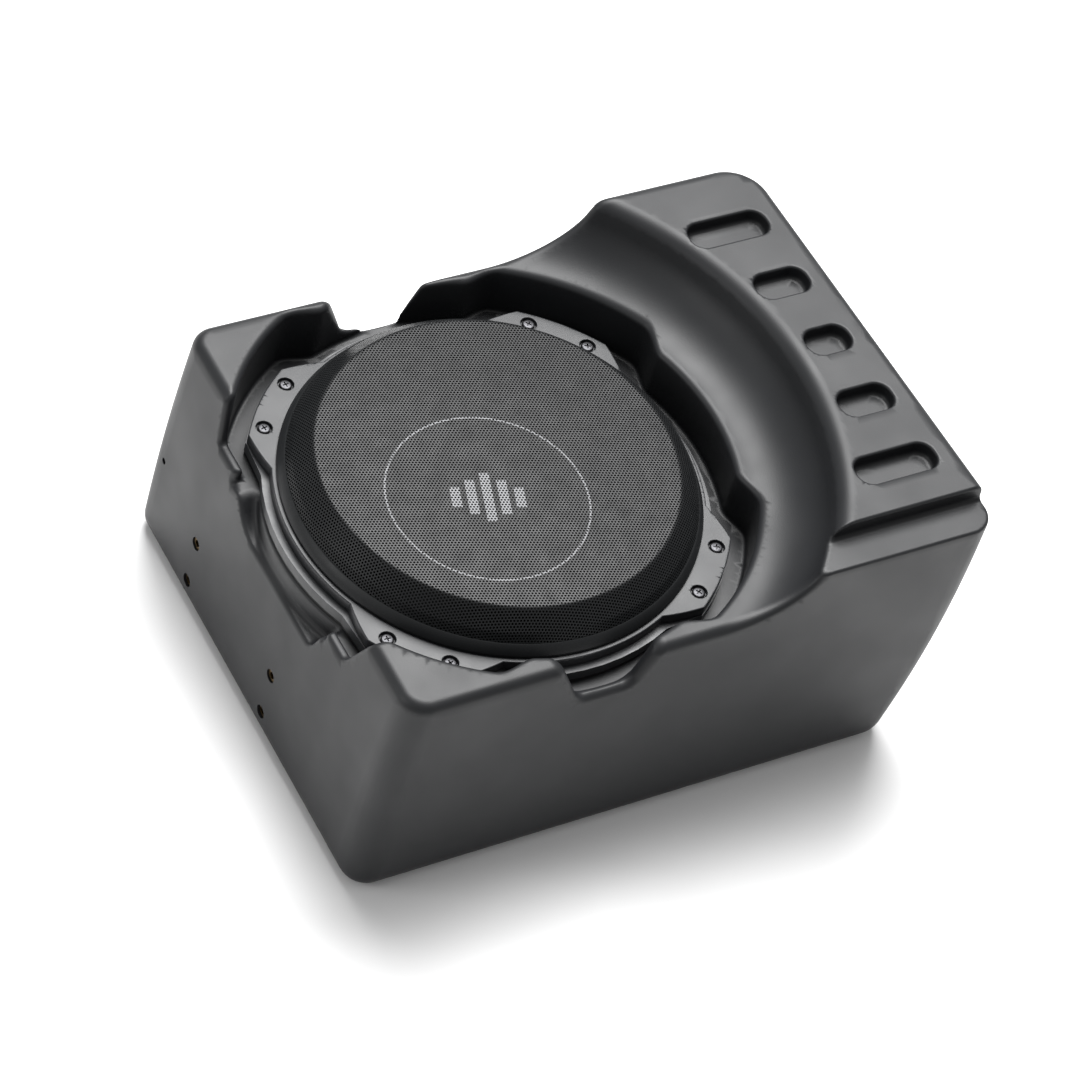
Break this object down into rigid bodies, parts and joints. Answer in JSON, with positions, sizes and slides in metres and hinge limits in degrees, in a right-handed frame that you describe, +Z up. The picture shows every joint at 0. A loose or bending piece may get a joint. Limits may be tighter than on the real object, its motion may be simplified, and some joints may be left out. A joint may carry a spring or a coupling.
{
  "type": "powered car subwoofer",
  "caption": "Moulded vehicle-fit subwoofer enclosure with a recessed shallow woofer under a round perforated grille, a pocketed ridge, notched rims and an amplifier panel in the back wall.",
  "frame": {"origin": "centre of the footprint, on the flat base", "axes": "+X along the length towards the raised ridge, +Y towards the amplifier panel, +Z up along the woofer's axis"},
  "size_m": [0.3719, 0.2858, 0.19],
  "materials": {
    "moulded_shell": "fine grained satin, moulded",
    "gasket_foam": "closed-cell foam",
    "basket_steel": "black powder coat",
    "trim_plastic": "satin moulded",
    "grille_steel": "black powder coat on perforated sheet",
    "scrim_cloth": "matt black cloth",
    "black_screw": "black oxide",
    "surround_rubber": "matt",
    "cone_polypropylene": "satin",
    "spider_cloth": "treated cotton",
    "former_foil": "bare",
    "copper_winding": "enamelled wire",
    "motor_steel": "black zinc",
    "ferrite": "sintered",
    "terminal_board": "phenolic",
    "heat_sink": "black anodised",
    "circuit_board": "solder mask",
    "capacitor_sleeve": "shrink sleeve",
    "connector_black": "moulded nylon",
    "fuse_amber": "clear tinted",
    "connector_white": "moulded nylon",
    "socket_plated": "gold flash",
    "knob_plastic": "satin",
    "led_lens": "clear",
    "insert_brass": "knurled",
    "wire_red": "insulation",
    "wire_black": "insulation"
  },
  "bodies": {
    "enclosure": {"enclosure_shell": "moulded_shell", "baffle_gasket": "gasket_foam", "woofer_basket": "basket_steel", "grille_trim_ring": "trim_plastic", "grille_dome": "grille_steel", "grille_scrim": "scrim_cloth", "grille_screw_1": "black_screw", "grille_screw_2": "black_screw", "grille_screw_3": "black_screw", "grille_screw_4": "black_screw", "grille_screw_5": "black_screw", "grille_screw_6": "black_screw", "grille_screw_7": "black_screw", "grille_screw_8": "black_screw", "surround": "surround_rubber", "spider": "spider_cloth", "motor_top_plate": "motor_steel", "ring_magnet": "ferrite", "pole_and_back_plate": "motor_steel", "speaker_terminal_strip": "terminal_board", "amp_heat_sink_panel": "heat_sink", "amp_gasket": "gasket_foam", "amp_circuit_board": "circuit_board", "toroid_choke": "copper_winding", "filter_capacitor_1": "capacitor_sleeve", "filter_capacitor_2": "capacitor_sleeve", "filter_capacitor_3": "capacitor_sleeve", "power_terminal_block": "connector_black", "blade_fuse": "fuse_amber", "high_level_input_socket": "connector_white", "rca_socket_left": "socket_plated", "rca_socket_right": "socket_plated", "status_led": "led_lens", "amp_screw_1": "black_screw", "amp_screw_2": "black_screw", "amp_screw_3": "black_screw", "amp_screw_4": "black_screw", "amp_screw_5": "black_screw", "amp_screw_6": "black_screw", "bracket_insert_1": "insert_brass", "bracket_insert_2": "insert_brass", "bracket_insert_3": "insert_brass", "bracket_insert_4": "insert_brass", "speaker_wire_positive": "wire_red", "speaker_wire_negative": "wire_black"},
    "cone_assembly": {"cone": "cone_polypropylene", "dust_cap": "cone_polypropylene", "voice_coil_former": "former_foil", "voice_coil_winding": "copper_winding"},
    "gain_control": {"gain_knob": "knob_plastic"},
    "crossover_control": {"crossover_knob": "knob_plastic"},
    "bass_boost_control": {"bass_boost_knob": "knob_plastic"},
    "phase_control": {"phase_switch": "knob_plastic"}
  },
  "joints": [
    {"name": "cone_travel", "type": "slide", "parent": "enclosure", "child": "cone_assembly", "axis": [0, 0, 1], "range_m": [-0.01, 0.01], "stiffness_N_per_m": 6000, "deforming": ["surround", "spider"]},
    {"name": "gain_turn", "type": "hinge", "parent": "enclosure", "child": "gain_control", "pos_m": [-0.023, 0.136, 0.082], "axis": [0, 1, 0], "range_deg": [-140, 140]},
    {"name": "crossover_turn", "type": "hinge", "parent": "enclosure", "child": "crossover_control", "pos_m": [-0.001, 0.136, 0.082], "axis": [0, 1, 0], "range_deg": [-140, 140]},
    {"name": "bass_boost_turn", "type": "hinge", "parent": "enclosure", "child": "bass_boost_control", "pos_m": [0.021, 0.136, 0.082], "axis": [0, 1, 0], "range_deg": [-140, 140]},
    {"name": "phase_slide", "type": "slide", "parent": "enclosure", "child": "phase_control", "axis": [1, 0, 0], "range_m": [0, 0.006]}
  ]
}
